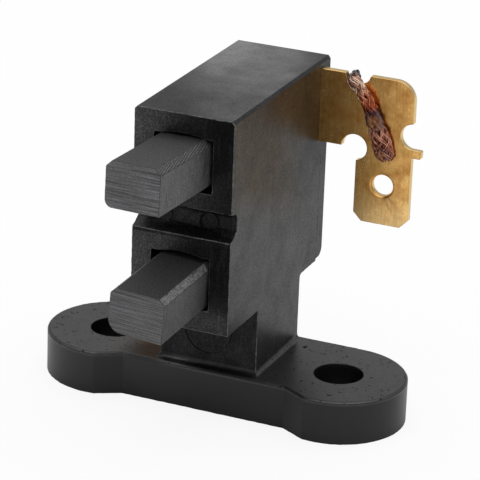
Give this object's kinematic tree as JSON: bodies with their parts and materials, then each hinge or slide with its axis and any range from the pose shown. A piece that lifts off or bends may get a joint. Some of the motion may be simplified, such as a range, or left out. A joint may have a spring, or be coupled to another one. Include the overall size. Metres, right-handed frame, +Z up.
{
  "type": "carbon brush holder",
  "caption": "Moulded holder with a two-hole foot that carries sprung carbon brushes above each other, each with a copper braid and a brass blade terminal.",
  "frame": {"origin": "centre of the foot's underside, halfway between its two holes", "axes": "+X along the foot through both holes, towards the upper terminal; +Y to the rear cover, away from the brushes' wear faces; +Z up from the foot"},
  "size_m": [0.0412, 0.0367, 0.0355],
  "materials": {
    "moulding": "dark grey moulded phenolic, satin",
    "carbon": "sawn carbon, matte grey",
    "spring_steel": "drawn wire",
    "terminal_brass": "stamped brass sheet, slightly tarnished",
    "copper_braid": "stranded bare copper"
  },
  "bodies": {
    "holder": {"holder_body": "moulding", "rear_cover": "moulding", "upper_terminal": "terminal_brass", "lower_terminal": "terminal_brass", "upper_spring": "spring_steel", "lower_spring": "spring_steel", "upper_pigtail": "copper_braid", "lower_pigtail": "copper_braid"},
    "upper_brush": {"upper_brush": "carbon"},
    "lower_brush": {"lower_brush": "carbon"}
  },
  "joints": [
    {"name": "upper_brush_slide", "type": "slide", "parent": "holder", "child": "upper_brush", "axis": [0.0225, 0.9992, -0.033], "range_m": [0, 0.0094], "stiffness_N_per_m": 120, "springref_m": -0.005, "deforming": ["upper_spring", "upper_pigtail"]},
    {"name": "lower_brush_slide", "type": "slide", "parent": "holder", "child": "lower_brush", "axis": [-0.0041, 0.9999, 0.0114], "range_m": [0, 0.0088], "stiffness_N_per_m": 120, "springref_m": -0.005, "deforming": ["lower_spring", "lower_pigtail"]}
  ]
}
